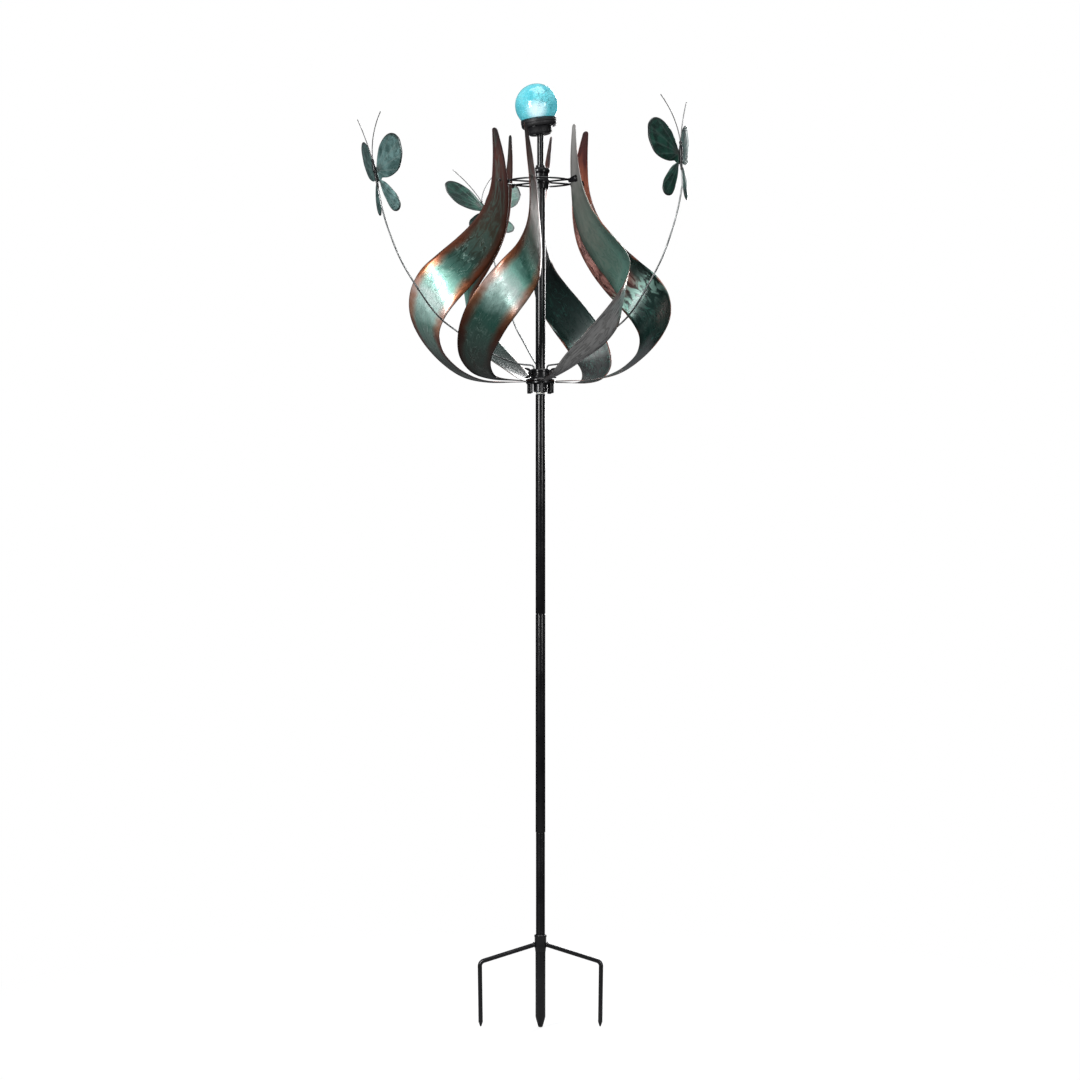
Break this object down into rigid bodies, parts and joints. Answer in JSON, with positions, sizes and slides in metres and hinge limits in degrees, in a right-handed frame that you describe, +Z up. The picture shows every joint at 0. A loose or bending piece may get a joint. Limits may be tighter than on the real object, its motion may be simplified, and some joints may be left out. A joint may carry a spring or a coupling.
{
  "type": "kinetic wind sculpture",
  "caption": "Garden wind sculpture: a tulip-shaped rotor of twisted metal petals turns on a staked pole, with butterflies on spring-wire stems and a solar globe lamp on top.",
  "frame": {"origin": "flat tip of the ground stake's centre spike, on the pole's axis", "axes": "+Z up along the pole, -Y to the front, +X to the right seen from the front"},
  "size_m": [0.7366, 0.7865, 2.1315],
  "materials": {
    "black_paint": "semi-gloss black powder coat",
    "black_plastic": "satin black moulded plastic",
    "nylon": "natural nylon",
    "spring_steel": "drawn wire, slightly dulled",
    "petal_patina": "teal patina with copper and burgundy edges, glossy",
    "wing_patina": "dark teal patina with lighter raised veins",
    "crackle_glass": "turquoise crackle glass",
    "solar_cell": "dark blue cell under clear resin",
    "battery_case": "grey wrap",
    "circuit_board": "green lacquer"
  },
  "bodies": {
    "mast": {"stake_spike": "black_paint", "stake_collar": "black_paint", "prong_left": "black_paint", "prong_right": "black_paint", "pole_lower": "black_paint", "pole_middle": "black_paint", "pole_upper": "black_paint", "pole_plug": "black_plastic", "spindle": "black_paint", "thrust_washer": "nylon", "stop_collar": "black_paint", "lamp_base": "black_plastic", "lamp_globe": "crackle_glass", "globe_ring": "black_plastic", "solar_panel": "solar_cell", "battery": "battery_case", "lamp_board": "circuit_board"},
    "rotor": {"rotor_tube": "black_paint", "lower_bush": "nylon", "upper_bush": "nylon", "lower_hub": "black_paint", "stem_hub": "black_paint", "upper_hub": "black_paint", "hub_cap": "black_paint", "neck_ring": "black_paint", "petal_1": "petal_patina", "petal_2": "petal_patina", "petal_3": "petal_patina", "petal_4": "petal_patina", "petal_5": "petal_patina", "petal_6": "petal_patina", "root_bolt_1": "black_paint", "root_bolt_2": "black_paint", "root_bolt_3": "black_paint", "root_bolt_4": "black_paint", "root_bolt_5": "black_paint", "root_bolt_6": "black_paint", "neck_rivet_1": "spring_steel", "neck_rivet_2": "spring_steel", "neck_rivet_3": "spring_steel", "neck_rivet_4": "spring_steel", "neck_rivet_5": "spring_steel", "neck_rivet_6": "spring_steel", "wing_screw_left": "black_paint", "wing_screw_right": "black_paint", "wing_screw_back": "black_paint"},
    "butterfly_left": {"butterfly_left_stem": "spring_steel", "butterfly_left_body": "black_paint", "butterfly_left_wings": "wing_patina", "butterfly_left_antennae": "spring_steel"},
    "butterfly_right": {"butterfly_right_stem": "spring_steel", "butterfly_right_body": "black_paint", "butterfly_right_wings": "wing_patina", "butterfly_right_antennae": "spring_steel"},
    "butterfly_back": {"butterfly_back_stem": "spring_steel", "butterfly_back_body": "black_paint", "butterfly_back_wings": "wing_patina", "butterfly_back_antennae": "spring_steel"},
    "switch": {"lamp_switch": "black_plastic"}
  },
  "joints": [
    {"name": "rotor_spin", "type": "hinge", "parent": "mast", "child": "rotor", "pos_m": [0, 0, 1.46], "axis": [0, 0, 1], "continuous": true},
    {"name": "butterfly_left_bob", "type": "hinge", "parent": "rotor", "child": "butterfly_left", "pos_m": [-0.01472, -0.0085, 1.4768], "axis": [0.4226, -0.9063, 0], "range_deg": [-2, 2], "stiffness_Nm_per_rad": 12, "springref_deg": -2.72},
    {"name": "butterfly_right_bob", "type": "hinge", "parent": "rotor", "child": "butterfly_right", "pos_m": [0.01472, -0.0085, 1.4768], "axis": [0.6293, 0.7771, 0], "range_deg": [-2, 2], "stiffness_Nm_per_rad": 12, "springref_deg": -2.68},
    {"name": "butterfly_back_bob", "type": "hinge", "parent": "rotor", "child": "butterfly_back", "pos_m": [0, 0.017, 1.4768], "axis": [-0.965, -0.2622, 0], "range_deg": [-2, 2], "stiffness_Nm_per_rad": 12, "springref_deg": -2.85},
    {"name": "lamp_switch_slide", "type": "slide", "parent": "mast", "child": "switch", "axis": [0.9327, -0.342, 0.1145], "range_m": [0, 0.003]}
  ]
}
